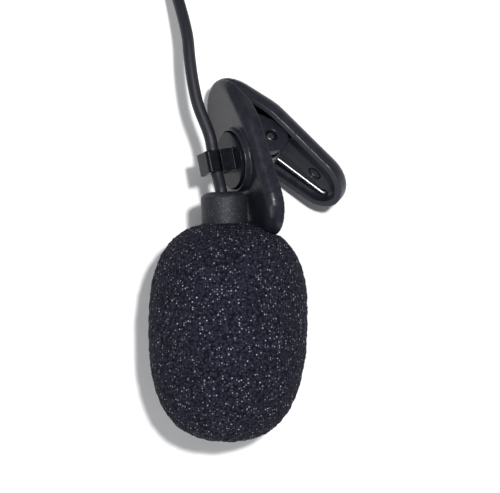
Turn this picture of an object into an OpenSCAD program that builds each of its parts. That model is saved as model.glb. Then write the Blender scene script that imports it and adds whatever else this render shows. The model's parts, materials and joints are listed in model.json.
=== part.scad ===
// Lavalier microphone with a foam windscreen, a swivelling spring clip and its cord.
// Millimetres. +Z is up from the table, +Y runs along the microphone towards its cord.
// The origin is on the table, under the middle of the microphone and clip.

/* [Windscreen] */
// Largest diameter of the foam
foam_d = 26.2; // [20:0.1:32]
// From the widest ring to the front end
foam_front = 20; // [14:0.5:26]
// From the widest ring to the rear end
foam_rear = 16.2; // [12:0.1:22]
// Fullness of the foam's outline, where 2 is an ellipse
foam_full = 2.6; // [2:0.1:3.5]
// How far the soft foam sits askew on the body
foam_lean = 3.5; // [0:0.5:5]
// Depth of the pocket in the foam
foam_pocket = 17; // [10:0.5:22]
// Gap between the foam and the body in its pocket
foam_gap = 0.15; // [0.1:0.05:0.4]
// Gap between the foam and the clip's handle that dents it
rest_gap = 0.3; // [0.2:0.05:0.6]

/* [Microphone body] */
// Outer diameter of the barrel
body_d = 7.6; // [6.5:0.1:10]
// Wall of the barrel
body_wall = 0.5; // [0.4:0.1:0.8]
// Length of the barrel that shows behind the foam
neck_len = 5; // [3:0.5:9]
// Thickness of the barrel's rear end
body_end = 1.6; // [1.2:0.1:2.5]
// Axial depth of the rounded rear shoulder
shoulder_len = 1.1; // [0.5:0.1:1.5]
// Radial depth of the rounded rear shoulder
shoulder_r = 2; // [1:0.1:2.2]
// Sideways shift of the cord's hole
cord_shift = 0.4; // [0:0.1:0.6]
// Upward tilt of the microphone as it lies on the table
mic_tilt = 2; // [0:0.5:5]

/* [Capsule] */
// Diameter of the capsule's can
can_d = 6; // [5:0.1:6.2]
// Length of the can
can_len = 5; // [4:0.1:6]
// Wall of the can
can_wall = 0.2; // [0.15:0.05:0.3]
// Thickness of the front grille
grille_t = 0.6; // [0.4:0.1:1]
// Diameter of one hole of the grille
grille_hole = 0.7; // [0.4:0.1:0.9]
// Thickness of the dust cloth behind the grille
cloth_t = 0.3; // [0.2:0.05:0.5]
// Thickness of the capsule's board
board_t = 0.5; // [0.4:0.1:0.8]

/* [Cord] */
// Diameter of the cord
cord_d = 2; // [1.8:0.1:2.2]
// Clearance round the cord in the holder and the barrel
cord_gap = 0.12; // [0.05:0.01:0.3]
// Columns of turns across the coil
coil_columns = 5; // [3:6]
// Layers of turns in the coil
coil_layers = 4; // [2:6]
// Diameter of the coil at the middle of its turns
coil_mid_d = 22; // [20:0.5:26]
// Distance between neighbouring turns
turn_pitch = 2.05; // [2:0.01:2.3]
// Width of the tie's band
tie_w = 5; // [3:0.5:8]
// Thickness of the tie's band
tie_t = 0.3; // [0.2:0.05:0.5]

/* [Plug] */
// Diameter of the plug's pin
pin_d = 3.5; // [2.5:0.1:3.5]
// Length of the pin
pin_len = 14; // [11:0.5:15]
// Diameter of the moulded grip
grip_d = 7.4; // [6:0.1:9]
// Length of the moulded grip
grip_len = 15; // [12:0.5:22]
// Length of the bend relief behind the grip
relief_len = 11; // [6:0.5:16]

/* [Clip] */
// Pivot to the jaw tip, along a lever
tip_len = 14; // [10:0.1:15]
// Pivot to the handle end, along a lever
handle_len = 15.2; // [12:0.1:20]
// Width of a lever at its middle
lever_w = 14.6; // [13:0.1:17]
// Rounding radius of the jaw tip, seen from outside
tip_r = 6.3; // [4:0.1:6.5]
// Rounding radius of the handle end, seen from outside
handle_r = 5.5; // [4.5:0.1:6.4]
// Depth of a lever's dish
dish_depth = 2.8; // [2.5:0.1:4]
// Wall of a lever
lever_wall = 1.2; // [0.9:0.1:1.5]
// Widest place of a lever, from the pivot towards the tip
mid_along = 2.5; // [-1:0.5:3]
// Rounding of a lever's outer edge
edge_r = 1.5; // [0.8:0.1:2]
// Pivot to a lever's outer face
pivot_depth = 4.9; // [4.8:0.1:6]
// Half of the angle between the closed levers
splay = 17; // [14:0.5:17.5]
// Gap between the closed jaw tips
jaw_gap = 0.3; // [0.2:0.05:0.5]
// Teeth in each jaw
tooth_count = 3; // [2:4]
// Diameter of the pivot pin
pivot_d = 2; // [1.5:0.1:2.2]
// Running clearance of the pivot pin and the swivel stud
run_gap = 0.05; // [0.02:0.01:0.1]
// Thickness of one ear
ear_t = 1.1; // [0.8:0.1:1.2]
// Side gap between neighbouring ears
ear_gap = 0.2; // [0.15:0.05:0.3]
// Outer radius of an ear
ear_r = 3; // [2.6:0.1:3.2]

/* [Spring] */
// Diameter of the spring wire
wire_d = 0.6; // [0.4:0.05:0.7]
// Mean radius of the spring's coil
spring_r = 2.7; // [2.3:0.05:2.8]
// Turns of the spring
spring_turns = 5; // [3:6]
// Distance between neighbouring turns of the spring
spring_pitch = 1; // [0.7:0.05:1.1]

/* [Swivel holder] */
// Diameter of the swivel disc
disc_d = 9.4; // [8:0.1:10.4]
// Thickness of the disc
disc_t = 1.35; // [1:0.05:1.6]
// How far the disc stands proud of its collar
disc_proud = 0.4; // [0.2:0.1:0.8]
// Wall of the collar round the disc
collar_wall = 0.5; // [0.5:0.1:1]
// Clearance round and under the disc
disc_gap = 0.15; // [0.1:0.05:0.3]
// Disc centre from the pivot, along the lever
disc_along = 0.9; // [0:0.1:3]
// Diameter of the swivel stud
stud_d = 3.2; // [2.5:0.1:4]
// Thickness of the stud's push-on washer
washer_t = 0.3; // [0.2:0.1:0.4]
// Clamp's outer face above the middle of the cord
clamp_cover = 2.2; // [1.8:0.1:3]
// Gap that the cord's height leaves between the lever and the barrel
neck_gap = 0.3; // [0.2:0.1:1]
// Width of the cord clamp
clamp_w = 4.4; // [3.6:0.1:6]
// Length of the cord clamp, along the cord
clamp_len = 3.6; // [3:0.1:6]
// Width of the slot that the cord is pressed in through
slot_w = 0.5; // [0.3:0.1:1.2]

/* [Hidden] */

smooth = 64;
hull_fn = 32;
// Place of the microphone's axis and of its widest ring, from the origin
mic_x = -3.4;
mic_y = -9.9;
mic_z = foam_d / 2 + 0.1;
body_r = body_d / 2;
bore_r = body_r - body_wall;
foam_bore_r = body_r + foam_gap;
body_back = foam_rear + neck_len;
body_front = foam_rear - foam_pocket + 0.4;
can_r = can_d / 2;
can_front = body_front + grille_t + cloth_t + 0.5;
can_back = can_front + can_len;
cord_r = cord_d / 2;
wire_r = wire_d / 2;

// Clip: its three turns, and its turn about the disc out of line with the cord
clip_turns = [-17, 32, 25];
clip_swing = 20;
disc_r = disc_d / 2;
stud_r = stud_d / 2;
collar_r = disc_r + disc_gap + collar_wall;
collar_h = disc_t + disc_gap - disc_proud;
face_up = disc_t + disc_gap;
cord_height = body_r + neck_gap - face_up;
clamp_h = cord_height + clamp_cover;
lever_r = lever_w / 2;
ear_inset = 0.9;
front_ear = lever_r - lever_wall - ear_inset;
back_ear = front_ear - ear_t - ear_gap;
floor_x = pivot_depth - lever_wall;
front_root = 4.4;
back_root = 3.5;

// Middle of the clamp, where the front handle reaches just over the foam's rear end
handle_slant = 30;
handle_over = 3.3;
clamp_x = -1.28;
clamp_z = -0.24;
clamp_at = [mic_x + clamp_x, mic_y + foam_rear + handle_len * cos(handle_slant) - handle_over, mic_z + clamp_z];

// Run of the cord through the clamp: the clip's turns, one after the other
function about_x(v, a) = [v[0], v[1] * cos(a) - v[2] * sin(a), v[1] * sin(a) + v[2] * cos(a)];
function about_y(v, a) = [v[0] * cos(a) + v[2] * sin(a), v[1], v[2] * cos(a) - v[0] * sin(a)];
function about_z(v, a) = [v[0] * cos(a) - v[1] * sin(a), v[0] * sin(a) + v[1] * cos(a), v[2]];
levered = about_z(about_x([0, 1, 0], clip_swing), -splay);
clamp_run = about_z(about_y(about_x(levered, clip_turns[0]), clip_turns[1]), clip_turns[2]);

module at_mic() {
    translate([mic_x, mic_y, mic_z]) rotate([mic_tilt - 90, 0, 0]) children();
}

// The front lever's frame, set so that the clamp holds the cord
module at_front_lever() {
    translate(clamp_at) rotate(clip_turns) rotate([0, 0, -splay])
        translate([pivot_depth + face_up + cord_height, disc_along, 0]) children();
}

module at_clip() {
    at_front_lever() rotate([0, 0, splay]) children();
}

module at_back_lever() {
    at_clip() rotate([0, 0, splay]) mirror([1, 0, 0]) children();
}

// The disc's face is at x = 0, the cord runs along y and the outside is -x
module at_swivel() {
    at_front_lever() translate([-pivot_depth - face_up, -disc_along, 0]) rotate([clip_swing, 0, 0]) children();
}

module tube(outer, inner, len) {
    difference() {
        cylinder(r = outer, h = len, $fn = smooth);
        translate([0, 0, -1]) cylinder(r = inner, h = len + 2, $fn = smooth);
    }
}

// Points where a swept tube's ring crosses, square to the path at each point
function unit(v) = v / norm(v);
function along(p, i) = unit(p[min(i + 1, len(p) - 1)] - p[max(i - 1, 0)]);
function side_of(t) = unit(cross(t, abs(t[2]) < 0.9 ? [0, 0, 1] : [1, 0, 0]));
function carried(p, i) = i == 0 ? side_of(along(p, 0))
    : let(t = along(p, i), s = carried(p, i - 1)) unit(s - (s * t) * t);
function ring_at(p, i, r, n) = let(t = along(p, i), u = carried(p, i), v = cross(t, u))
    [for (k = [0 : n - 1]) p[i] + r * (cos(360 * k / n) * u + sin(360 * k / n) * v)];

module sweep(path, r, sides = 8) {
    last = len(path) - 1;
    points = [for (i = [0 : last]) each ring_at(path, i, r, sides)];
    ends = [[for (k = [0 : sides - 1]) k], [for (k = [sides - 1 : -1 : 0]) last * sides + k]];
    walls = [for (i = [0 : last - 1], k = [0 : sides - 1]) let(n = (k + 1) % sides)
        [i * sides + k, (i + 1) * sides + k, (i + 1) * sides + n, i * sides + n]];
    polyhedron(points = points, faces = concat(ends, walls), convexity = 6);
}

// Catmull-Rom curve through the points, with the given steps in each span
function spline_at(a, b, c, d, t) = 0.5 * (2 * b + (c - a) * t
    + (2 * a - 5 * b + 4 * c - d) * t * t + (3 * b - a - 3 * c + d) * t * t * t);
function curve(p, steps) = let(n = len(p) - 1) concat([for (i = [0 : n - 1], k = [0 : steps - 1])
    spline_at(p[max(i - 1, 0)], p[i], p[i + 1], p[min(i + 2, n)], k / steps)], [p[n]]);

// ---------------------------------------------------------------- windscreen

foam_steps = 14;
function egg(a) = [foam_d / 2 * pow(cos(a), 2 / foam_full),
    (a < 0 ? -foam_front : foam_rear) * pow(abs(sin(a)), 2 / foam_full)];

module foam_windscreen() {
    outline = [for (i = [-foam_steps : foam_steps]) egg(90 * i / foam_steps)];
    color("#26262b") difference() {
        at_mic() difference() {
            rotate([0, foam_lean, 0]) rotate_extrude($fn = smooth) polygon(concat([[0, -foam_front]],
                [for (i = [1 : len(outline) - 2]) outline[i]], [[0, foam_rear]]));
            translate([0, 0, foam_rear - foam_pocket]) cylinder(r = foam_bore_r, h = foam_pocket + 1, $fn = smooth);
        }
        // The soft foam gives way where the handle's end rests and swings out
        for (swing = [0 : 5 : 15]) handle_end(swing);
    }
}

// Room taken by the front handle's end when the clip is swung out by the angle
module handle_end(swing) {
    at_swivel() rotate([-clip_swing - swing, 0, 0])
        translate([face_up - rest_gap, disc_along + handle_r - handle_len, 0]) rotate([0, 90, 0])
            cylinder(r = handle_r + rest_gap, h = dish_depth + 2 * rest_gap, $fn = smooth);
}

// ---------------------------------------------------------------- microphone

shoulder_steps = 8;

module mic_barrel() {
    shoulder = [for (i = [0 : shoulder_steps]) let(a = 90 * i / shoulder_steps)
        [body_r - shoulder_r + shoulder_r * cos(a), body_back - shoulder_len + shoulder_len * sin(a)]];
    color("#2b2b2e") at_mic() difference() {
        rotate_extrude($fn = smooth) polygon(concat([[0, body_front], [body_r, body_front]],
            shoulder, [[0, body_back]]));
        translate([0, 0, body_front - 1]) cylinder(r = bore_r, h = body_back - body_front - body_end + 1, $fn = smooth);
        translate([-cord_shift, 0, 0]) cylinder(r = cord_r + cord_gap, h = body_back + 1, $fn = smooth);
    }
}

module front_grille() {
    color("#3a3a3c") at_mic() translate([0, 0, body_front]) difference() {
        cylinder(r = bore_r, h = grille_t, $fn = smooth);
        for (ring = [0 : 2], i = [0 : max(6 * ring - 1, 0)])
            rotate([0, 0, ring == 0 ? 0 : 60 * i / ring])
                translate([1.15 * ring, 0, -1]) cylinder(r = grille_hole / 2, h = grille_t + 2, $fn = 16);
    }
}

module dust_cloth() {
    color("#1c1c1c") at_mic() translate([0, 0, body_front + grille_t])
        cylinder(r = bore_r, h = cloth_t, $fn = smooth);
}

boot_lip = 0.5;

module capsule_boot() {
    color("#202020") at_mic() translate([0, 0, can_front]) difference() {
        cylinder(r = bore_r, h = can_len + boot_lip, $fn = smooth);
        translate([0, 0, -1]) cylinder(r = can_r, h = can_len + 1, $fn = smooth);
        cylinder(r = can_r - 0.7, h = can_len + boot_lip + 1, $fn = smooth);
    }
}

module capsule_can() {
    color("silver") at_mic() translate([0, 0, can_front]) difference() {
        cylinder(r = can_r, h = can_len, $fn = smooth);
        translate([0, 0, can_wall]) cylinder(r = can_r - can_wall, h = can_len, $fn = smooth);
        translate([0, 0, -1]) cylinder(r = 1, h = 2, $fn = smooth);
    }
}

felt_t = 0.3;

module capsule_felt() {
    color("#151515") at_mic() translate([0, 0, can_front - felt_t])
        cylinder(r = can_r - 0.3, h = felt_t, $fn = smooth);
}

// The capsule's stack, from its front: ring, film, back plate in its cup, contact ring, board
stack_r = can_r - can_wall;
ring_t = 0.5;
film_t = 0.06;
plate_t = 0.4;
plate_gap = 0.1;
cup_wall = 0.35;
ring_at_z = can_front + can_wall;
film_at_z = ring_at_z + ring_t;
cup_at_z = film_at_z + film_t;
board_at_z = can_back - board_t;
plate_at_z = cup_at_z + plate_gap;

module diaphragm_ring() {
    color("gold") at_mic() translate([0, 0, ring_at_z]) tube(stack_r, stack_r - 0.5, ring_t);
}

module diaphragm_film() {
    color("gainsboro") at_mic() translate([0, 0, film_at_z]) cylinder(r = stack_r, h = film_t, $fn = smooth);
}

module insulating_cup() {
    color("ivory") at_mic() translate([0, 0, cup_at_z]) difference() {
        cylinder(r = stack_r, h = board_at_z - cup_at_z, $fn = smooth);
        translate([0, 0, -1]) cylinder(r = stack_r - cup_wall, h = can_len + 2, $fn = smooth);
    }
}

module back_plate() {
    color("goldenrod") at_mic() translate([0, 0, plate_at_z]) difference() {
        cylinder(r = stack_r - cup_wall, h = plate_t, $fn = smooth);
        for (i = [0 : 3]) rotate([0, 0, 90 * i]) translate([1.2, 0, -1]) cylinder(r = 0.3, h = 2, $fn = 16);
    }
}

module contact_ring() {
    from = plate_at_z + plate_t;
    color("gold") at_mic() translate([0, 0, from])
        tube(stack_r - cup_wall, stack_r - cup_wall - 0.35, board_at_z - from);
}

module capsule_board() {
    color("darkgreen") at_mic() translate([0, 0, board_at_z]) cylinder(r = stack_r, h = board_t, $fn = smooth);
}

module transistor() {
    color("#222222") at_mic() translate([-0.9, -0.6, board_at_z - 0.9]) cube([1.8, 1.2, 0.9]);
}

// The cord's jacket ends inside the barrel, and two leads go on to the board
jacket_z = can_back + 4;
lead_r = 0.3;

module lead_wires() {
    for (s = [-1, 1]) color(s < 0 ? "firebrick" : "white") at_mic()
        sweep(concat([[-cord_shift + 0.35 * s, 0, jacket_z]], curve([[-cord_shift + 0.35 * s, 0, jacket_z - 0.5],
            [0.6 * s, 0.3, can_back + 2.3], [1.4 * s, 0.2, can_back + 1.2], [1.4 * s, 0, can_back + 0.5]], 3),
            [[1.4 * s, 0, can_back]]), lead_r, 6);
}

crimp_len = 3;

module cord_crimp() {
    color("silver") at_mic() translate([-cord_shift, 0, body_back - body_end - crimp_len - 0.1])
        tube(cord_r + 0.6, cord_r, crimp_len);
}

// ---------------------------------------------------------------- cord, coil and plug

coil_x = 0.4;
coil_y = 68;
tie_gap = 0.02;
coil_lift = tie_t + 0.05;
coil_in = coil_mid_d / 2 - coil_columns * turn_pitch / 2;
coil_out = coil_mid_d / 2 + coil_columns * turn_pitch / 2;
coil_h = coil_layers * turn_pitch;
// A place on the barrel's cord hole, and the cord's route on from the barrel
function on_axis(z) = [mic_x - cord_shift, mic_y + z * cos(mic_tilt), mic_z + z * sin(mic_tilt)];
cord_points = [clamp_at - 1.9 * clamp_run, clamp_at + 1.5 * clamp_run, clamp_at + 4.8 * clamp_run,
    [-7.1, 25.6, 11.9], [-7.85, 29.5, 11.3], [-8.3, 33.6, 10.4], [-8.6, 37.6, 9.1], [-9.5, 42, 7.2],
    [-10.7, 46.4, 5], [-12.1, 50.8, 3], [-13.3, 55, 1.7], [-14.1, 58.6, 1.4], [-14.6, 62.3, 1.35]];

module cord() {
    at_neck = [for (z = [jacket_z, body_back - 3, body_back - 1, body_back + 0.3]) on_axis(z)];
    color("#1b1b1d") sweep(concat(at_neck, curve(cord_points, 3)), cord_r, 8);
}

module cord_coil() {
    color("#1b1b1d") translate([coil_x, coil_y, coil_lift]) tube(coil_out, coil_in, coil_h);
}

module coil_tie() {
    inner = sqrt(pow(coil_in, 2) - pow(tie_w / 2, 2)) - tie_gap;
    across = coil_out + tie_gap - inner;
    high = coil_h + 2 * tie_gap;
    color("#303030") translate([coil_x + inner - tie_t, coil_y - tie_w / 2, coil_lift - tie_t - tie_gap])
        difference() {
            cube([across + 2 * tie_t, tie_w, high + 2 * tie_t]);
            translate([tie_t, -1, tie_t]) cube([across, tie_w + 2, high]);
        }
}

plug_x = -4.6;
plug_y = coil_y + 21.5;
plug_z = grip_d / 2;
tail_points = [[-14.6, 73.8, 7.4], [-14.5, 77.9, 6.5], [-13.5, 82.2, 5.2], [-11.1, 86.3, 4.2], [-8.4, 88.8, 3.8],
    [plug_x - 1.5, plug_y, plug_z]];

module cord_tail() {
    color("#1b1b1d") sweep(concat(curve(tail_points, 3), [[plug_x, plug_y, plug_z]]), cord_r, 8);
}

module at_plug() {
    translate([plug_x, plug_y, plug_z]) rotate([0, 90, 0]) children();
}

module plug_relief() {
    color("#1b1b1d") at_plug() difference() {
        cylinder(r1 = cord_r + 0.6, r2 = grip_d / 2 - 1.2, h = relief_len, $fn = smooth);
        for (i = [0 : 3]) translate([0, 0, 2 + 2.2 * i]) tube(grip_d, cord_r + 0.25 + 0.1 * i, 0.8);
    }
}

module plug_grip() {
    color("#1b1b1d") at_plug() translate([0, 0, relief_len]) difference() {
        rotate_extrude($fn = smooth) polygon([[0, 0], [grip_d / 2 - 0.8, 0], [grip_d / 2, 1], [grip_d / 2, grip_len - 2],
            [grip_d / 2 - 0.8, grip_len - 0.6], [grip_d / 2 - 0.8, grip_len], [0, grip_len]]);
        for (i = [0 : 3]) translate([0, 0, 3 + 2.4 * i]) tube(grip_d, grip_d / 2 - 0.35, 1);
    }
}

pin_z = relief_len + grip_len;
pin_r = pin_d / 2;
band_t = 0.7;
sleeve_len = 6;
ring_len = 2.2;
ring_z = sleeve_len + band_t;
tip_z = ring_z + ring_len + band_t;

module plug_sleeve() {
    color("silver") at_plug() translate([0, 0, pin_z]) cylinder(r = pin_r, h = sleeve_len, $fn = smooth);
}

module plug_ring() {
    color("silver") at_plug() translate([0, 0, pin_z + ring_z]) cylinder(r = pin_r, h = ring_len, $fn = smooth);
}

module plug_tip() {
    t = pin_len - tip_z;
    color("silver") at_plug() translate([0, 0, pin_z + tip_z]) rotate_extrude($fn = smooth)
        polygon([[0, 0], [pin_r, 0], [pin_r, 0.2 * t], [pin_r - 0.45, 0.4 * t], [pin_r, 0.62 * t],
            [pin_r - 0.6, 0.92 * t], [pin_r - 1.1, t], [0, t]]);
}

module plug_insulators() {
    for (z = [sleeve_len, ring_z + ring_len]) color("#101010") at_plug() translate([0, 0, pin_z + z])
        cylinder(r = pin_r, h = band_t, $fn = smooth);
}

// ---------------------------------------------------------------- swivel holder

module clamp_outline() {
    c = 0.6;
    hull() {
        translate([0.5, -clamp_w / 2]) square([0.2, clamp_w]);
        for (s = [-1, 1]) translate([-clamp_h + c, s * (clamp_w / 2 - c)]) circle(r = c, $fn = hull_fn);
    }
}

module swivel_holder() {
    color("#1e1e20") at_swivel() difference() {
        union() {
            rotate([0, 90, 0]) cylinder(r = disc_r, h = disc_t, $fn = smooth);
            rotate([0, 90, 0]) cylinder(r = stud_r, h = disc_t + 2 * disc_gap + lever_wall + washer_t, $fn = smooth);
            translate([0, clamp_len / 2, 0]) rotate([90, 0, 0]) linear_extrude(clamp_len) clamp_outline();
        }
        translate([-cord_height, -clamp_len, 0]) rotate([-90, 0, 0])
            cylinder(r = cord_r + cord_gap, h = 2 * clamp_len, $fn = smooth);
        translate([-cord_height - slot_w / 2, -clamp_len, 0]) cube([slot_w, 2 * clamp_len, clamp_w]);
    }
}

module stud_washer() {
    color("silver") at_swivel() translate([disc_t + 2 * disc_gap + lever_wall, 0, 0]) rotate([0, 90, 0])
        tube(stud_r + 1.1, stud_r, washer_t);
}

// ---------------------------------------------------------------- clip levers

// A disc lying in the y-z plane with its outer edge rounded, from x = 0 inwards
module rounded_disc(r, h, edge) {
    steps = 5;
    rotate([0, 90, 0]) rotate_extrude($fn = hull_fn)
        polygon(concat([[0, 0]], [for (i = [0 : steps]) let(a = 90 * i / steps)
            [r - edge + edge * sin(a), edge - edge * cos(a)]], [[r, h], [0, h]]));
}

// The oval dish of a lever: tip, middle and handle discs under one skin
module oval(inset, depth, edge) {
    hull() {
        translate([0, tip_len - tip_r, 0]) rounded_disc(tip_r - inset, depth, edge);
        translate([0, mid_along, 0]) rounded_disc(lever_r - inset, depth, edge);
        translate([0, handle_r - handle_len, 0]) rounded_disc(handle_r - inset, depth, edge);
    }
}

// One lever about its pivot: dish, ears whose roots run on towards the tip, and teeth; outside is -x
module lever(ear_out, ear_root, ear_round, bore) {
    difference() {
        union() {
            difference() {
                translate([-pivot_depth, 0, 0]) oval(0, dish_depth, edge_r);
                translate([-floor_x, 0, 0]) oval(lever_wall, dish_depth + 1, edge_r - lever_wall + 0.5);
            }
            for (s = [0, 1]) mirror([0, 0, s]) translate([0, 0, ear_out - ear_t]) linear_extrude(ear_t)
                hull() {
                    circle(r = ear_round, $fn = smooth);
                    translate([-floor_x - 0.3, -ear_round]) square([floor_x - 0.5, ear_round + ear_root]);
                }
            teeth();
        }
        cylinder(r = bore, h = lever_w, center = true, $fn = smooth);
        // The two jaws meet at the clip's middle plane, short of the pivot
        rotate([0, 0, splay]) translate([-jaw_gap / 2, ear_r + 1.6, -lever_w]) cube([20, 20, 2 * lever_w]);
    }
}

// Where the jaws' meeting plane lies over a place along the lever
function jaw_plane(y) = (-jaw_gap / 2 - y * sin(splay)) / cos(splay);

// Ridges across the jaw, each with its crest on the meeting plane
module teeth() {
    for (i = [0 : tooth_count - 1]) let(y = tip_len - 2.6 - 1.5 * i)
        translate([0, 0, 1.9 - tip_r]) linear_extrude(2 * tip_r - 3.8)
            polygon([[-floor_x - 0.3, y - 0.6], [jaw_plane(y), y], [-floor_x - 0.3, y + 0.6]]);
}

module front_lever() {
    color("#1e1e20") at_front_lever() difference() {
        union() {
            lever(front_ear, front_root, ear_r, pivot_d / 2);
            translate([-pivot_depth - collar_h, -disc_along, 0]) rotate([0, 90, 0])
                cylinder(r = collar_r, h = collar_h + 0.3, $fn = smooth);
            // The ears' roots fill the space to the side walls
            for (s = [0, 1]) mirror([0, 0, s]) translate([-floor_x - 0.2, -ear_r, front_ear - 0.5])
                cube([floor_x - 2.1, ear_r + front_root, ear_inset + 0.7]);
        }
        translate([-pivot_depth - face_up - 0.1, -disc_along, 0]) rotate([0, 90, 0])
            cylinder(r = disc_r + disc_gap, h = face_up + 0.1, $fn = smooth);
        translate([-pivot_depth - 5, -disc_along, 0]) rotate([0, 90, 0])
            cylinder(r = stud_r + run_gap, h = 8, $fn = smooth);
        leg_socket(leg_side);
    }
}

// Socket for the bent end of the spring's leg
module leg_socket(z) {
    translate([-floor_x - 0.7, leg_end - 0.25, z]) rotate([0, 90, 0]) cylinder(r = socket_r, h = 2, $fn = smooth);
}

boss_r = spring_r - wire_r - 0.15;
spring_half = spring_turns * spring_pitch / 2;

module back_lever() {
    color("#1e1e20") at_back_lever() difference() {
        union() {
            lever(back_ear, back_root, ear_r - 0.4, pivot_d / 2 + run_gap);
            for (s = [0, 1]) mirror([0, 0, s]) translate([0, 0, back_ear - ear_t - 0.4])
                tube(boss_r, pivot_d / 2 + run_gap, 0.6);
        }
        // Blind core hole in the floor of the dish
        translate([-floor_x - 0.7, -9, -0.4]) rotate([0, 90, 0]) cylinder(r = 1.2, h = 2, $fn = smooth);
        leg_socket(-leg_side);
    }
}

module pivot_pin() {
    color("silver") at_clip() cylinder(r = pivot_d / 2, h = 2 * front_ear - 0.8, center = true, $fn = smooth);
}

// ---------------------------------------------------------------- spring

leg_end = -12;
leg_side = spring_half;
socket_r = 0.5;
turn_steps = 14;
leg_floor = floor_x - wire_r - 0.05;
leg_lean = atan((leg_floor - spring_r) / -leg_end);

// A leg's point, from its lever's frame into the clip's; side is -1 at the front lever
function leg_point(side, x, y, z) = [side * (x * cos(splay) - y * sin(splay)), x * sin(splay) + y * cos(splay), z];

// The leg lies along the dish and its end is bent into the socket
function leg(side) = [leg_point(side, leg_floor + 0.7, leg_end - 0.3, -side * leg_side),
    leg_point(side, leg_floor + 0.1, leg_end - 0.2, -side * leg_side),
    leg_point(side, leg_floor - 0.02, leg_end + 0.3, -side * leg_side)];

module jaw_spring() {
    from = 180 - splay - leg_lean;
    span = 360 * spring_turns + 2 * from - 180;
    steps = turn_steps * spring_turns;
    turns = [for (i = [0 : steps]) let(a = from - span * i / steps)
        [spring_r * cos(a), spring_r * sin(a), spring_half - 2 * spring_half * i / steps]];
    back = leg(1);
    color("silver") at_clip() sweep(concat(leg(-1), turns, [back[2], back[1], back[0]]), wire_r, 8);
}

foam_windscreen();
mic_barrel();
front_grille();
dust_cloth();
capsule_boot();
capsule_can();
capsule_felt();
diaphragm_ring();
diaphragm_film();
back_plate();
insulating_cup();
contact_ring();
capsule_board();
transistor();
lead_wires();
cord_crimp();
cord();
cord_coil();
coil_tie();
cord_tail();
plug_relief();
plug_grip();
plug_sleeve();
plug_ring();
plug_tip();
plug_insulators();
swivel_holder();
stud_washer();
front_lever();
back_lever();
pivot_pin();
jaw_spring();
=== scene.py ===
"""The looks of a lavalier microphone: a foam windscreen on a short metal barrel, a thin cord that runs
through a swivelling clip holder, a spring clip with two moulded levers, and a tied coil with a jack plug.

Lengths in this script are millimetres, and new_piece() turns them into metres. Only the lamps and the floor
are placed in metres, and the joints' places come from the frame in metres.
"""

import json
import math

import bmesh
import bpy
import numpy as np
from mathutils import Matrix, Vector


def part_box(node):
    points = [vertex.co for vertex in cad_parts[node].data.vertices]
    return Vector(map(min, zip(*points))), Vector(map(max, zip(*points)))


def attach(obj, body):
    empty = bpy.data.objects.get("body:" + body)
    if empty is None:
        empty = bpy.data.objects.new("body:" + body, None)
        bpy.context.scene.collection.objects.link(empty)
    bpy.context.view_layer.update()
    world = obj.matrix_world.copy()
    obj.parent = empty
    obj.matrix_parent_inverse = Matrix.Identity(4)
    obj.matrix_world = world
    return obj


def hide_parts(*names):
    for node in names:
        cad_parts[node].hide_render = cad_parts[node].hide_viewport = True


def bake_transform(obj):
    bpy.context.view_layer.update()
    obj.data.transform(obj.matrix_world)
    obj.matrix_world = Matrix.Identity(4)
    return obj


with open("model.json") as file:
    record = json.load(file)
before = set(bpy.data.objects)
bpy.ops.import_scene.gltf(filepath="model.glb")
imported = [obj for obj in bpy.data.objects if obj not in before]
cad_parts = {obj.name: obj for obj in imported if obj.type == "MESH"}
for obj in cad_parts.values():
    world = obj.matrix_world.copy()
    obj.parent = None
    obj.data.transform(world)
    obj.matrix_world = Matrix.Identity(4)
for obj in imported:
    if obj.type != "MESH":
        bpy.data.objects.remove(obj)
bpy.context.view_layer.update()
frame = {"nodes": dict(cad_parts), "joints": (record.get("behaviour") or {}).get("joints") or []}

MM = 0.001
joints = {joint["name"]: joint for joint in frame["joints"]}


# ---------------------------------------------------------------- small geometry tools

def unit(v):
    """Vectors of length one."""
    v = np.asarray(v, float)
    return v / np.maximum(np.linalg.norm(v, axis=-1, keepdims=True), 1e-12)


def smooth_step(t):
    """0 before 0, 1 after 1, and an S curve between."""
    t = np.clip(t, 0, 1)
    return t * t * (3 - 2 * t)


def turned(v, axis, degrees):
    """Vectors turned about an axis by the right-hand rule."""
    v, axis, a = np.asarray(v, float), unit(axis), math.radians(degrees)
    along = (v @ axis)[..., None] * axis
    return along + (v - along) * math.cos(a) + np.cross(axis, v) * math.sin(a)


def spline(points, steps):
    """Catmull-Rom curve: each span is a cubic through its ends, with the neighbours' chords as tangents."""
    p = np.asarray(points, float)
    p = np.vstack([p[:1], p, p[-1:]])
    t = (np.arange(steps) / steps)[None, :, None]
    a, b, c, d = (p[i:len(p) - 3 + i, None] for i in range(4))
    spans = 0.5 * (2 * b + (c - a) * t + (2 * a - 5 * b + 4 * c - d) * t**2 + (3 * b - a - 3 * c + d) * t**3)
    return np.vstack([spans.reshape(-1, 3), p[-1:]])


def value_noise(points, size, seed):
    """Smooth noise from 0 to 1: a random number at each corner of a cubic lattice, blended by an S curve."""
    q = points / size
    cell = np.floor(q)
    f = smooth_step(q - cell)
    total = np.zeros(q.shape[:-1])
    for corner in np.ndindex(2, 2, 2):
        key = (cell + corner) @ np.array([127.1, 311.7, 74.7]) + seed
        weight = np.prod(np.where(corner, f, 1 - f), axis=-1)
        total += weight * np.mod(np.sin(key) * 43758.5453, 1)
    return total


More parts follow.
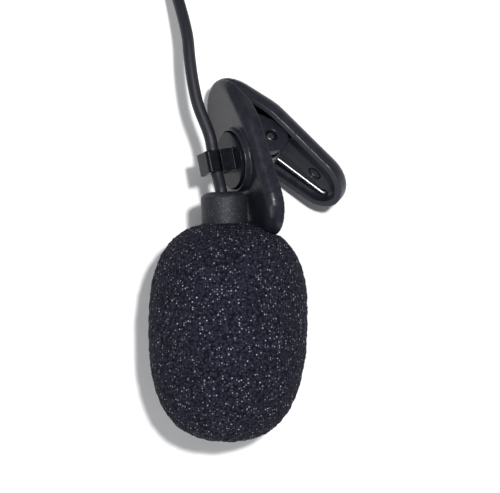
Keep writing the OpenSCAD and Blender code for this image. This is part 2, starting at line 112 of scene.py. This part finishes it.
def new_piece(name, points, material, body, replaces=(), wrap_rows=False):
    """A closed surface from a grid of points: rows run along it and columns round it. Equal points merge."""
    rows, columns = points.shape[:2]
    index = np.arange(rows * columns).reshape(rows, columns)
    last = rows if wrap_rows else rows - 1
    near, far = index[:last], np.roll(index, -1, axis=0)[:last]
    quads = np.stack([near, np.roll(near, -1, axis=1), np.roll(far, -1, axis=1), far], axis=-1).reshape(-1, 4)
    mesh = bpy.data.meshes.new(name)
    mesh.from_pydata((points.reshape(-1, 3) * MM).tolist(), [], quads.tolist())
    work = bmesh.new()
    work.from_mesh(mesh)
    bmesh.ops.remove_doubles(work, verts=work.verts, dist=1e-7)
    bmesh.ops.dissolve_degenerate(work, edges=work.edges, dist=1e-8)
    bmesh.ops.recalc_face_normals(work, faces=work.faces)
    work.to_mesh(mesh)
    work.free()
    mesh.shade_smooth()
    return settle(bpy.data.objects.new(name, mesh), material, body, replaces)


def settle(piece, material, body, replaces=()):
    """Links a piece and says its finish, what it rides on and what it stands for. A body of None leaves it
    unattached.
    """
    bpy.context.scene.collection.objects.link(piece)
    piece.data.materials.clear()
    piece.data.materials.append(material)
    if body:
        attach(piece, body)
    if replaces:
        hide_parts(*replaces)
    return piece


def tube_points(path, radius, sides, up):
    """Circles of the given radius square to a path, shut at both ends. up is never along the path."""
    path = np.asarray(path, float)
    tangent = unit(np.gradient(path, axis=0))
    side = unit(np.cross(tangent, up))
    over = np.cross(side, tangent)
    a = np.linspace(0, 2 * np.pi, sides, endpoint=False)[None, :, None]
    rings = path[:, None] + radius * (np.cos(a) * side[:, None] + np.sin(a) * over[:, None])
    first, final = (np.repeat(path[i][None, None], sides, axis=1) for i in (0, -1))
    return np.concatenate([first, rings, final])


def rounded(corners, radius, steps=5):
    """A profile whose inner corners are quadratic curves that start and end the radius away."""
    corners = np.asarray(corners, float)
    line = [corners[0]]
    t = np.linspace(0, 1, steps + 1)[:, None]
    for before, corner, after in zip(corners, corners[1:], corners[2:]):
        reach = min(radius, 0.45 * np.linalg.norm(corner - before), 0.45 * np.linalg.norm(after - corner))
        a = corner + reach * unit(before - corner)
        b = corner + reach * unit(after - corner)
        line.extend((1 - t) ** 2 * a + 2 * t * (1 - t) * corner + t**2 * b)
    return np.array(line + [corners[-1]])


def lathe_points(profile, base, axis, around=96):
    """A profile of radius and height spun about the axis, from base."""
    axis = unit(axis)
    side = unit(np.cross(axis, [0.3, 0.1, 1]))
    over = np.cross(axis, side)
    a = np.linspace(0, 2 * np.pi, around, endpoint=False)[None, :, None]
    radius, height = profile[:, 0][:, None, None], profile[:, 1][:, None, None]
    return np.asarray(base) + height * axis + radius * (np.cos(a) * side + np.sin(a) * over)


# ---------------------------------------------------------------- shader tools

def node(tree, kind, settings=None, **inputs):
    """A shader node with its settings, and its inputs set or linked by name."""
    made = tree.nodes.new("ShaderNode" + kind)
    for key, value in (settings or {}).items():
        setattr(made, key, value)
    for name, value in inputs.items():
        socket = made.inputs[name.replace("_", " ")]
        if isinstance(value, bpy.types.NodeSocket):
            tree.links.new(value, socket)
        else:
            socket.default_value = value
    return made


def grain_group():
    """Mottling: two sizes of noise on Object coordinates, stretched to run from 0 to 1."""
    group = bpy.data.node_groups.new("grain", "ShaderNodeTree")
    spots = group.interface.new_socket("Spots per metre", in_out="INPUT", socket_type="NodeSocketFloat")
    spots.default_value = 1500
    group.interface.new_socket("Value", in_out="OUTPUT", socket_type="NodeSocketFloat")
    given, out = group.nodes.new("NodeGroupInput"), group.nodes.new("NodeGroupOutput")
    where = node(group, "TexCoord").outputs["Object"]
    large = node(group, "TexNoise", Vector=where, Scale=given.outputs[0], Detail=2.0, Roughness=0.6)
    finer = node(group, "Math", {"operation": "MULTIPLY"})
    group.links.new(given.outputs[0], finer.inputs[0])
    finer.inputs[1].default_value = 4.3
    small = node(group, "TexNoise", Vector=where, Scale=finer.outputs[0], Detail=1.0)
    mixed = node(group, "Mix", {"data_type": "FLOAT"}, Factor=0.4)
    group.links.new(large.outputs[0], mixed.inputs["A"])
    group.links.new(small.outputs[0], mixed.inputs["B"])
    spread = node(group, "MapRange", Value=mixed.outputs[0], From_Min=0.35, From_Max=0.65)
    group.links.new(spread.outputs[0], out.inputs[0])
    return group


GRAIN = grain_group()


def mixed_colour(tree, mask, dark, light):
    """A colour that goes from dark to light with the mask."""
    mix = node(tree, "Mix", {"data_type": "RGBA"})
    tree.links.new(mask, mix.inputs[0])
    mix.inputs[6].default_value, mix.inputs[7].default_value = (*dark, 1), (*light, 1)
    return mix.outputs[2]


def new_material(name, **fixed):
    """A material with one Principled BSDF whose constant sockets are set by name."""
    made = bpy.data.materials.new(name)
    made.use_nodes = True
    shader = made.node_tree.nodes["Principled BSDF"]
    for key, value in fixed.items():
        shader.inputs[key.replace("_", " ")].default_value = value
    return made, made.node_tree, shader


def finish(name, dark, light, spots, roughness, bump, **fixed):
    """A mottled finish: grain moves the colour, the roughness and a bump of the given depth in mm."""
    made, tree, shader = new_material(name, **fixed)
    grain = node(tree, "Group", {"node_tree": GRAIN})
    grain.inputs[0].default_value = spots
    value = grain.outputs[0]
    tree.links.new(mixed_colour(tree, value, dark, light), shader.inputs["Base Color"])
    sheen = node(tree, "MapRange", Value=value, To_Min=roughness[0], To_Max=roughness[1])
    tree.links.new(sheen.outputs[0], shader.inputs["Roughness"])
    relief = node(tree, "Bump", Strength=0.5, Distance=bump * MM, Height=value)
    tree.links.new(relief.outputs[0], shader.inputs["Normal"])
    return made


def glint_group():
    """Painted glints: small bright spots, one in some of the cells of a Voronoi pattern, each with its own
    brightness.
    """
    group = bpy.data.node_groups.new("glints", "ShaderNodeTree")
    spots = group.interface.new_socket("Spots per metre", in_out="INPUT", socket_type="NodeSocketFloat")
    spots.default_value = 3000
    group.interface.new_socket("Mask", in_out="OUTPUT", socket_type="NodeSocketFloat")
    given, out = group.nodes.new("NodeGroupInput"), group.nodes.new("NodeGroupOutput")
    where = node(group, "TexCoord").outputs["Object"]
    cells = node(group, "TexVoronoi", Vector=where, Scale=given.outputs[0])
    spot = node(group, "MapRange", Value=cells.outputs["Distance"], From_Min=0.42, From_Max=0.2)
    pick = node(group, "SeparateColor", Color=cells.outputs["Color"])
    lit = node(group, "MapRange", Value=pick.outputs[0], From_Min=0.55, From_Max=1.0)
    strong = node(group, "Math", {"operation": "POWER"})
    group.links.new(lit.outputs[0], strong.inputs[0])
    strong.inputs[1].default_value = 2.2
    mask = node(group, "Math", {"operation": "MULTIPLY"})
    group.links.new(spot.outputs[0], mask.inputs[0])
    group.links.new(strong.outputs[0], mask.inputs[1])
    group.links.new(mask.outputs[0], out.inputs[0])
    return group


GLINTS = glint_group()


def glinting(tree, ground, spots, light):
    """The ground colour with painted glints of a light colour, and their mask."""
    glints = node(tree, "Group", {"node_tree": GLINTS})
    glints.inputs[0].default_value = spots
    mix = node(tree, "Mix", {"data_type": "RGBA"})
    tree.links.new(glints.outputs[0], mix.inputs[0])
    tree.links.new(ground, mix.inputs[6])
    mix.inputs[7].default_value = (*light, 1)
    return mix.outputs[2], glints.outputs[0]


def sponge():
    """Open-cell foam: painted shade darkens the pits between thin struts, and painted glints brighten the
    colour where a strut would catch the light.
    """
    made, tree, shader = new_material("foam_sponge", Specular_IOR_Level=0.12)
    where = node(tree, "TexCoord").outputs["Object"]
    cells = node(tree, "TexVoronoi", Vector=where, Scale=2100.0)
    pits = node(tree, "MapRange", Value=cells.outputs["Distance"], From_Min=0.15, From_Max=0.75)
    # Painted shade: the colour darkens where the pits are deepest, the same mask that the bump sinks
    ground = mixed_colour(tree, pits.outputs[0], (0.022, 0.022, 0.038), (0.003, 0.003, 0.007))
    # Painted glints: bright spots laid into the colour as highlights
    colour, glints = glinting(tree, ground, 2700, (0.35, 0.36, 0.42))
    tree.links.new(colour, shader.inputs["Base Color"])
    rough = node(tree, "MapRange", Value=glints, To_Min=0.95, To_Max=0.4)
    tree.links.new(rough.outputs[0], shader.inputs["Roughness"])
    relief = node(tree, "Bump", {"invert": True}, Strength=0.9, Distance=0.15 * MM, Height=pits.outputs[0])
    tree.links.new(relief.outputs[0], shader.inputs["Normal"])
    return made


def paint_and_glints():
    """Dark paint with a fine sparkle of painted glints in its colour, and a slight orange peel."""
    made, tree, shader = new_material("barrel_paint_and_glints", Specular_IOR_Level=0.35)
    grain = node(tree, "Group", {"node_tree": GRAIN})
    grain.inputs[0].default_value = 2600
    ground = mixed_colour(tree, grain.outputs[0], (0.007, 0.0075, 0.0125), (0.013, 0.0135, 0.02))
    # Painted glints: bright spots laid into the paint's colour as highlights
    colour, glints = glinting(tree, ground, 5200, (0.14, 0.145, 0.17))
    tree.links.new(colour, shader.inputs["Base Color"])
    rough = node(tree, "MapRange", Value=glints, To_Min=0.6, To_Max=0.35)
    tree.links.new(rough.outputs[0], shader.inputs["Roughness"])
    relief = node(tree, "Bump", Strength=0.5, Distance=0.02 * MM, Height=grain.outputs[0])
    tree.links.new(relief.outputs[0], shader.inputs["Normal"])
    return made


def painted_light_inside(facing):
    """The clip's plastic with painted light: its colour is lighter on the faces of a dish whose normals lie
    near the direction, as if light reached into the dish.
    """
    made = CLIP.copy()
    tree = made.node_tree
    base = tree.nodes["Principled BSDF"].inputs["Base Color"]
    own_colour = base.links[0].from_socket
    normal = node(tree, "TexCoord").outputs["Normal"]
    dot = node(tree, "VectorMath", {"operation": "DOT_PRODUCT"})
    tree.links.new(normal, dot.inputs[0])
    dot.inputs[1].default_value = facing
    inside = node(tree, "MapRange", Value=dot.outputs["Value"], From_Min=0.6, From_Max=0.95)
    mix = node(tree, "Mix", {"data_type": "RGBA"})
    tree.links.new(inside.outputs[0], mix.inputs[0])
    tree.links.new(own_colour, mix.inputs[6])
    # Painted light: the dish's inward faces get this lighter colour in place of the light that reaches them
    mix.inputs[7].default_value = (0.045, 0.047, 0.06, 1)
    tree.links.new(mix.outputs[2], base)
    made.name = "clip_plastic_painted_light"
    return made


FOAM = sponge()
BARREL = paint_and_glints()
CLIP = finish("clip_plastic", (0.009, 0.0095, 0.0145), (0.015, 0.016, 0.023), 900, (0.28, 0.4), 0.015,
              Specular_IOR_Level=0.3)
HOLDER = finish("holder_plastic", (0.004, 0.0045, 0.007), (0.007, 0.0075, 0.011), 900, (0.2, 0.3), 0.006,
                Specular_IOR_Level=0.1)
JACKET = finish("cord_jacket", (0.007, 0.0075, 0.012), (0.012, 0.0125, 0.018), 1800, (0.45, 0.6), 0.012,
                Specular_IOR_Level=0.35)
STEEL = finish("spring_steel", (0.3, 0.3, 0.31), (0.36, 0.36, 0.38), 700, (0.32, 0.4), 0.001, Metallic=1.0)
PIN = finish("pin_steel", (0.09, 0.09, 0.1), (0.16, 0.16, 0.17), 1800, (0.35, 0.45), 0.003, Metallic=1.0)
NICKEL = finish("plug_nickel", (0.7, 0.68, 0.63), (0.78, 0.76, 0.71), 1500, (0.12, 0.2), 0.004, Metallic=1.0)
ALUMINIUM = finish("can_aluminium", (0.6, 0.6, 0.62), (0.75, 0.75, 0.77), 1800, (0.25, 0.4), 0.01,
                   Metallic=1.0)
BRASS = finish("contact_brass", (0.65, 0.45, 0.16), (0.8, 0.6, 0.26), 1800, (0.2, 0.35), 0.008, Metallic=1.0)
FILM = finish("film_foil", (0.7, 0.7, 0.72), (0.8, 0.8, 0.82), 900, (0.1, 0.16), 0.004, Metallic=0.8)
MESH = finish("grille_paint", (0.02, 0.02, 0.022), (0.05, 0.05, 0.055), 4800, (0.5, 0.7), 0.03)
CLOTH = finish("dust_weave", (0.008, 0.008, 0.009), (0.03, 0.03, 0.032), 6000, (0.85, 0.98), 0.06)
RUBBER = finish("soft_rubber", (0.014, 0.014, 0.015), (0.024, 0.024, 0.026), 2400, (0.6, 0.75), 0.02)
IVORY = finish("cup_ivory", (0.7, 0.66, 0.54), (0.8, 0.76, 0.64), 1600, (0.4, 0.5), 0.008)
BOARD = finish("board_green", (0.01, 0.12, 0.04), (0.02, 0.2, 0.07), 2400, (0.3, 0.45), 0.01)
CHIP = finish("chip_black", (0.012, 0.012, 0.012), (0.03, 0.03, 0.03), 3600, (0.5, 0.65), 0.01)
LEAD = finish("lead_red", (0.4, 0.03, 0.02), (0.5, 0.05, 0.04), 1500, (0.35, 0.45), 0.006)
GRIP = finish("plug_rubber", (0.016, 0.016, 0.018), (0.026, 0.026, 0.029), 2600, (0.45, 0.6), 0.02)
INSULATOR = finish("plug_insulator", (0.006, 0.006, 0.006), (0.012, 0.012, 0.012), 1500, (0.2, 0.3), 0.004)
BAND = finish("tie_weave", (0.012, 0.012, 0.013), (0.04, 0.04, 0.042), 5200, (0.7, 0.9), 0.05)


# ---------------------------------------------------------------- places, from the frame

axis_out = -unit(joints["windscreen_slide"]["axis"])
swivel_at = np.array(joints["clip_swivel"]["pos_m"]) / MM
swivel_out = unit(joints["clip_swivel"]["axis"])
pivot_at = np.array(joints["jaw_hinge"]["pos_m"]) / MM
pivot_axis = -unit(joints["jaw_hinge"]["axis"])
cord_run = unit(joints["holder_slide"]["axis"])


def box_mm(name):
    """A CAD node's lowest and highest corners, in millimetres."""
    return [np.array(corner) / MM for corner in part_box(name)]


# Sizes along the microphone's axis, counted from the foam's widest ring towards the cord
FOAM_D, FOAM_FRONT, FOAM_REAR, FOAM_POCKET = 26.2, 20.0, 16.2, 17.0
BODY_R, BODY_WALL, BODY_END, NECK = 3.8, 0.5, 1.6, 5.0
BODY_FRONT, BODY_BACK = FOAM_REAR - FOAM_POCKET + 0.4, FOAM_REAR + NECK
CORD_R, CORD_SHIFT, CORD_GAP = 1.0, 0.4, 0.12
CAN_AT, CAN_LEN, LEADS_LEN = BODY_FRONT + 1.4, 5.0, 4.0

# The microphone's axis passes through the middle of its back plate, which is round and lies square to it.
WIDEST_Y = -9.9
on_axis = sum(box_mm("back_plate")) / 2
widest = on_axis + axis_out * (WIDEST_Y - on_axis[1]) / axis_out[1]

# The clip: half the angle between its levers, and the front lever's handle end seen from the swivel
SPLAY = 17.0
HANDLE_LEN, HANDLE_R, DISC_ALONG, FACE_UP = 15.2, 5.5, 0.9, 1.5


def mic_point(side, up, along):
    """A place near the microphone: sideways, up and along its axis from the foam's widest ring."""
    right = np.array([1.0, 0, 0])
    return widest + side * right + up * np.cross(right, axis_out) + along * axis_out


# ---------------------------------------------------------------- camera, light and floor

VIEW_PLACE, VIEW_TURN = (0.63, 2.1, 413.0), -2.0
VIEW_HALF_WIDTH = math.atan(41.25 / 400)

camera = bpy.data.objects.new("camera", bpy.data.cameras.new("camera"))
camera.location = np.array(VIEW_PLACE) * MM
camera.rotation_euler = (0, 0, math.radians(VIEW_TURN))
camera.data.sensor_fit = "HORIZONTAL"
camera.data.angle = 2 * VIEW_HALF_WIDTH
camera.data.clip_start = 0.01
bpy.context.scene.collection.objects.link(camera)
bpy.context.scene.camera = camera


OBJECT_MIDDLE = (0, 0, 0.01)


def soft_light(name, place, size, power):
    """A square lamp at a place in metres, aimed at the object's middle."""
    lamp = bpy.data.objects.new(name, bpy.data.lights.new(name, "AREA"))
    lamp.data.size, lamp.data.energy = size, power
    away = unit(np.array(place) - OBJECT_MIDDLE)
    lamp.location = place
    lamp.rotation_euler = (math.acos(away[2]), 0, math.atan2(away[0], -away[1]))
    bpy.context.scene.collection.objects.link(lamp)


soft_light("key", (0.105, 0.09, 0.58), 0.04, 3.7)
soft_light("fill", (-0.25, -0.28, 0.4), 0.3, 1.0)

world = bpy.data.worlds.new("studio")
world.use_nodes = True
world.node_tree.nodes["Background"].inputs["Color"].default_value = (0.93, 0.95, 1, 1)
world.node_tree.nodes["Background"].inputs["Strength"].default_value = 0.24
bpy.context.scene.world = world
bpy.context.scene.view_settings.view_transform = "Standard"

floor = bpy.data.objects.new("floor", bpy.data.meshes.new("floor"))
floor.data.from_pydata([(-2, -2, 0), (2, -2, 0), (2, 2, 0), (-2, 2, 0)], [], [(0, 1, 2, 3)])
PAPER = finish("floor_paper", (0.86, 0.86, 0.86), (0.89, 0.89, 0.89), 60, (0.85, 0.95), 0.002)
floor.data.materials.append(PAPER)
bpy.context.scene.collection.objects.link(floor)


# ---------------------------------------------------------------- cord and plug

TUBE_SIDES, BEND_STEPS = 14, 6
COIL_MIDDLE = np.array([0.4, 68.0])
COIL_COLUMNS, COIL_LAYERS, COIL_MID_R, TURN_PITCH, COIL_LIFT = 5, 4, 11.0, 2.05, 0.35
CORD_OVER_DISC = 2.6
# How far the cord runs straight on both sides of the clamp's middle, and its bends from there to the coil
IN_CLAMP = (-1.9, 1.5, 4.8)
TO_COIL = [(-7.1, 25.6, 11.9), (-7.85, 29.5, 11.3), (-8.3, 33.6, 10.4), (-8.6, 37.6, 9.1), (-9.5, 42, 7.2),
           (-10.7, 46.4, 5), (-12.1, 50.8, 3), (-13.3, 55, 1.7), (-14.1, 58.6, 1.4), (-14.6, 62.3, 1.375)]
TO_PLUG = [(-14.6, 73.8, 7.4), (-14.5, 77.9, 6.5), (-13.5, 82.2, 5.2), (-11.1, 86.3, 4.2), (-8.4, 88.8, 3.8)]
PLUG_START, PLUG_AXIS = np.array([-4.6, 89.5, 3.7]), np.array([1.0, 0, 0])


def cord_route():
    """The cord: out of the barrel, straight through the clamp, down to the table and round into its coil."""
    jacket_end = CAN_AT + CAN_LEN + LEADS_LEN
    heights = jacket_end, BODY_BACK - 3, BODY_BACK - 1, BODY_BACK + 0.3
    inside = [mic_point(-CORD_SHIFT, 0, z) for z in heights]
    clamp = swivel_at + swivel_out * CORD_OVER_DISC
    free = [clamp + along * cord_run for along in IN_CLAMP] + TO_COIL
    return np.array(inside), np.array(free)


def coil_route():
    """Turns laid side by side and layer on layer: a helix of constant radius whose steps to the next place
    come at an angle of their own in each layer, the topmost first, so that no turn crosses another."""
    cells = [(column, layer) for layer in range(COIL_LAYERS)
             for column in (range(COIL_COLUMNS)[::-1] if layer % 2 == 0 else range(COIL_COLUMNS))]
    column, layer = np.array(cells + cells[-1:], float).T
    turn = np.linspace(0, len(cells), 40 * len(cells) + 1)
    at = np.minimum(turn.astype(int), len(cells) - 1)
    rising = layer[at + 1] > layer[at]
    sector = 2 * (COIL_LAYERS - 1 - layer[at]) - rising
    step = smooth_step((turn - at) * 8 - 0.5 - sector)
    out = column[at] + step * (column[at + 1] - column[at]) - (COIL_COLUMNS - 1) / 2
    up = layer[at] + step * (layer[at + 1] - layer[at]) + 0.5
    radius, height = COIL_MID_R + out * TURN_PITCH, COIL_LIFT + up * TURN_PITCH
    angle = np.pi - 2 * np.pi * turn
    return np.stack([COIL_MIDDLE[0] + radius * np.cos(angle), COIL_MIDDLE[1] + radius * np.sin(angle),
                     height], -1)


def make_cord():
    """One tube along the whole route."""
    inside, free = cord_route()
    tail = TO_PLUG + [PLUG_START - 1.5 * PLUG_AXIS, PLUG_START]
    first = spline(np.vstack([inside[-1:], free]), BEND_STEPS)
    route = np.vstack([inside[:-1], first, coil_route()[2:], spline(tail, BEND_STEPS)])
    piece = new_piece("cord_run", tube_points(route, CORD_R, TUBE_SIDES, (0, 0, 1)), JACKET, "microphone",
                      ("cord", "cord_coil", "cord_tail"))


def make_tie():
    """A thin band wrapped square round the coil, a superellipse section swept along the cord's way."""
    low, high = box_mm("coil_tie")
    middle, half = (low + high) / 2, (high - low) / 2
    around, across, corner, thick = 120, 9, 0.16, 0.26
    a = np.linspace(0, 2 * np.pi, around, endpoint=False)
    profile = np.stack([np.sign(np.cos(a)) * np.abs(np.cos(a)) ** corner,
                        np.sign(np.sin(a)) * np.abs(np.sin(a)) ** corner], -1)
    rim = np.linspace(-1, 1, across) * half[1]
    edge = np.concatenate([np.stack([rim, 0 * rim], -1), np.stack([rim[::-1], 0 * rim + thick], -1)])
    rings = [np.stack([middle[0] + profile[:, 0] * (half[0] - inset), np.full(around, middle[1] + y),
                       middle[2] + profile[:, 1] * (half[2] - inset)], -1) for y, inset in edge]
    new_piece("coil_tie_band", np.array(rings), BAND, "microphone", ("coil_tie",), wrap_rows=True)


def make_plug():
    """The moulded relief with its grooves and the grip with its waist, both spun about the plug's axis."""
    grooves = 4
    relief_len, relief_step, slot = 11.0, 2.2, 0.8
    relief = [(0, 0), (1.5, 0), (1.6, 2)]
    for i in range(grooves):
        z, inner = 2 + relief_step * i, 1.25 + 0.1 * i
        relief += [(1.6 + 0.2 * i, z), (inner, z), (inner, z + slot), (1.7 + 0.2 * i, z + slot)]
    relief += [(2.45, relief_len), (0, relief_len)]
    new_piece("plug_bend_relief", lathe_points(rounded(relief, 0.2), PLUG_START, PLUG_AXIS), GRIP,
              "microphone", ("plug_relief",))
    grip_len, grip_r, end_r, waist_r, grip_step = 15.0, 3.7, 2.9, 3.35, 2.4
    grip = [(0, 0), (end_r, 0), (grip_r, 1)]
    for i in range(grooves):
        z = 3 + grip_step * i
        grip += [(grip_r, z), (waist_r, z + 0.1), (waist_r, z + 0.9), (grip_r, z + 1)]
    grip += [(grip_r, grip_len - 2), (end_r, grip_len - 0.6), (end_r, grip_len), (0, grip_len)]
    start = PLUG_START + relief_len * PLUG_AXIS
    new_piece("plug_moulding", lathe_points(rounded(grip, 0.3), start, PLUG_AXIS), GRIP, "microphone",
              ("plug_grip",))


make_tie()
make_plug()
make_cord()


# ---------------------------------------------------------------- windscreen and barrel

FOAM_FULL, FOAM_LEAN, LEAN_FADE, FOAM_GAP, REST_GAP = 2.6, 3.5, 4.0, 0.15, 0.3
HANDLE_SIDE, HANDLE_SWINGS = 8.0, (0, 5, 10, 15)


def make_windscreen():
    """An egg whose outline is a superellipse, with a pocket for the barrel, roughened by three sizes of noise
    and pushed in where the clip's handle rests and swings out."""
    around, rows, deep_rows = 360, 236, 28
    a = np.linspace(-np.pi / 2, np.pi / 2, rows)
    radius = FOAM_D / 2 * np.cos(a).clip(0) ** (2 / FOAM_FULL)
    height = np.where(a < 0, -FOAM_FRONT, FOAM_REAR) * np.abs(np.sin(a)) ** (2 / FOAM_FULL)
    bore = BODY_R + FOAM_GAP
    keep = (a < 0) | (radius > bore)
    down = np.linspace(FOAM_REAR - 0.15, FOAM_REAR - FOAM_POCKET, deep_rows)
    floor_radius = np.linspace(bore, 0, 6)[1:]
    radius = np.concatenate([radius[keep], np.full(deep_rows, bore), floor_radius])
    height = np.concatenate([height[keep], down, 0 * floor_radius + down[-1]])
    outer = np.arange(len(radius)) < keep.sum()

    # The lean fades out towards the pocket, which stays in line with the barrel
    fade = smooth_step((radius - bore) / LEAN_FADE + (height < 0))
    lean = math.radians(FOAM_LEAN) * np.where(outer, fade, 0)
    c, s = np.cos(lean)[:, None], np.sin(lean)[:, None]
    t = np.linspace(0, 2 * np.pi, around, endpoint=False)[None, :]
    side, up, along = radius[:, None] * np.cos(t), radius[:, None] * np.sin(t), height[:, None]
    side, along = side * c + along * s, along * c - side * s
    right, over = np.array([1.0, 0, 0]), np.cross([1.0, 0, 0], axis_out)
    points = widest + side[..., None] * right + up[..., None] * over + along[..., None] * axis_out

    normal = np.cross(np.gradient(points, axis=0), np.roll(points, -1, 1) - np.roll(points, 1, 1))
    normal = unit(normal)
    normal *= np.sign((normal * (points - widest)).sum(-1, keepdims=True).sum())
    relief, level = 0.5, 0.38
    rough = sum(share * value_noise(points, size, seed) for share, size, seed in
                ((0.5, 0.75, 1), (0.35, 0.4, 2), (0.15, 3.1, 3)))
    points = points - normal * (relief * (rough - level) * outer[:, None])[..., None]
    for swing in HANDLE_SWINGS:
        points = pushed_by_handle(points, swing, outer)
    piece = new_piece("windscreen_foam", points, FOAM, "windscreen", ("foam_windscreen",))


def pushed_by_handle(points, swing, outer):
    """Foam inside the handle end's round slab moves out through the slab's flat face or its round side. Only
    the foam on the handle's own side is looked at."""
    tip = turned(unit(np.cross(pivot_axis, -swivel_out)), swivel_out, swing)
    across = turned(pivot_axis, swivel_out, swing)
    p = points - swivel_at
    x = -(p @ swivel_out)
    y, z = p @ tip - (DISC_ALONG + HANDLE_R - HANDLE_LEN), p @ across
    reach = np.hypot(y, z)
    depth, wall = x - (FACE_UP - REST_GAP), HANDLE_R + REST_GAP - reach
    near = x < HANDLE_SIDE
    inside = (depth > 0) & (wall > 0) & outer[:, None] & near
    through_face = inside & (depth <= wall)
    through_side = inside & (depth > wall)
    points = points + np.where(through_face, depth, 0)[..., None] * swivel_out
    shift = np.where(through_side, wall, 0) / np.maximum(reach, 1e-6)
    return points + (shift * y)[..., None] * tip + (shift * z)[..., None] * across


def make_barrel():
    """The barrel with its rounded rear shoulder, spun about its axis, hollow behind the grille."""
    shoulder_r, shoulder_len, chamfer = 2.0, 1.1, 0.1
    bore, hole = BODY_R - BODY_WALL, CORD_R + CORD_GAP + CORD_SHIFT
    a = np.linspace(0, np.pi / 2, 12)
    shoulder = np.stack([BODY_R - shoulder_r + shoulder_r * np.cos(a),
                         BODY_BACK - shoulder_len + shoulder_len * np.sin(a)], -1)
    outside = np.vstack([[(bore, BODY_FRONT), (BODY_R - chamfer, BODY_FRONT), (BODY_R, BODY_FRONT + chamfer)],
                         shoulder, [(hole + 0.15, BODY_BACK), (hole, BODY_BACK - 0.15)]])
    inside = [(hole, BODY_BACK - BODY_END), (bore, BODY_BACK - BODY_END), (bore, BODY_FRONT)]
    profile = np.vstack([outside, inside])
    points = lathe_points(profile, widest, axis_out, 128)
    new_piece("barrel_body", points, BARREL, "microphone", ("mic_barrel",))


make_windscreen()
make_barrel()


# ---------------------------------------------------------------- clip

def moulded(name, node_name, material, body, voxel, passes):
    """A moulded piece: a merged copy of the CAD solid, rebuilt on a fine voxel grid and relaxed, so that its
    edges turn softly as they do on an injection moulding."""
    piece = bpy.data.objects.new(name, frame["nodes"][node_name].data.copy())
    bpy.context.scene.collection.objects.link(piece)
    piece.modifiers.new("merge", "WELD").merge_threshold = 1e-6
    remesh = piece.modifiers.new("voxels", "REMESH")
    remesh.mode, remesh.voxel_size = "VOXEL", voxel * MM
    relax = piece.modifiers.new("relax", "SMOOTH")
    relax.factor, relax.iterations = 0.5, passes
    shown = piece.evaluated_get(bpy.context.evaluated_depsgraph_get())
    piece_mesh = bpy.data.meshes.new_from_object(shown)
    bpy.data.objects.remove(piece)
    piece_mesh.shade_smooth()
    settle(bpy.data.objects.new(name, piece_mesh), material, body, (node_name,))


# The back lever's dish gets painted light on its inward faces
CLIP_PAINTED_LIGHT = painted_light_inside(unit(turned(swivel_out, pivot_axis, 2 * SPLAY)))
moulded("front_lever_moulding", "front_lever", CLIP, "front_clip", 0.13, 7)
moulded("back_lever_moulding", "back_lever", CLIP_PAINTED_LIGHT, "back_clip", 0.13, 7)
moulded("holder_moulding", "swivel_holder", HOLDER, "holder", 0.07, 5)

FLOOR_X, LEG_END = 3.7, -12.0
WIRE_R, SPRING_R, SPRING_TURNS, SPRING_HALF = 0.3, 2.7, 5, 2.5


def make_spring():
    """Turns about the pivot, and a leg along each lever's floor with its end bent into a socket."""
    floor_x = FLOOR_X - WIRE_R - 0.05
    lean = math.degrees(math.atan((floor_x - SPRING_R) / -LEG_END))
    start = 180 - SPLAY - lean
    span = 360 * SPRING_TURNS + 2 * start - 180
    a = np.radians(start - np.linspace(0, span, 36 * SPRING_TURNS))
    height = np.linspace(SPRING_HALF, -SPRING_HALF, len(a))
    turns = np.stack([SPRING_R * np.cos(a), SPRING_R * np.sin(a), height], -1)
    c, s = math.cos(math.radians(SPLAY)), math.sin(math.radians(SPLAY))

    def leg(side):
        bend = np.array([(floor_x + 0.7, LEG_END - 0.3), (floor_x + 0.3, LEG_END - 0.28),
                         (floor_x + 0.08, LEG_END - 0.18), (floor_x - 0.02, LEG_END + 0.3)])
        return np.stack([side * (bend[:, 0] * c - bend[:, 1] * s), bend[:, 0] * s + bend[:, 1] * c,
                         np.full(4, -side * SPRING_HALF)], -1)

    local = np.vstack([leg(-1), turns, leg(1)[::-1]])
    middle = unit(turned(-swivel_out, pivot_axis, SPLAY))
    up = np.cross(pivot_axis, middle)
    path = pivot_at + local @ np.stack([middle, up, pivot_axis])
    piece = new_piece("spring_wire", tube_points(path, WIRE_R, TUBE_SIDES, pivot_axis), STEEL, None,
                      ("jaw_spring",))
    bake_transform(piece)


def make_pin():
    """The pivot pin, coned at both ends."""
    half, radius, end, cone = 4.8, 1, 0.62, 0.4
    profile = [(0, -half), (end, -half), (radius, cone - half), (radius, half - cone), (end, half), (0, half)]
    profile = rounded(profile, 0.1)
    new_piece("pivot_rivet", lathe_points(profile, pivot_at, pivot_axis, 48), PIN, "front_clip",
              ("pivot_pin",))


make_spring()
make_pin()


# ---------------------------------------------------------------- carried-over nodes

def dress(material, *names):
    """Gives CAD nodes that keep their shape their finish."""
    for name in names:
        slots = frame["nodes"][name].data.materials
        slots.clear()
        slots.append(material)


dress(MESH, "front_grille")
dress(CLOTH, "dust_cloth", "capsule_felt")
dress(RUBBER, "capsule_boot")
dress(ALUMINIUM, "capsule_can", "cord_crimp")
dress(BRASS, "diaphragm_ring", "back_plate", "contact_ring")
dress(FILM, "diaphragm_film")
dress(IVORY, "insulating_cup")
dress(BOARD, "capsule_board")
dress(CHIP, "transistor")
dress(LEAD, "lead_wires")
dress(NICKEL, "plug_sleeve", "plug_ring", "plug_tip")
dress(INSULATOR, "plug_insulators")
dress(STEEL, "stud_washer")
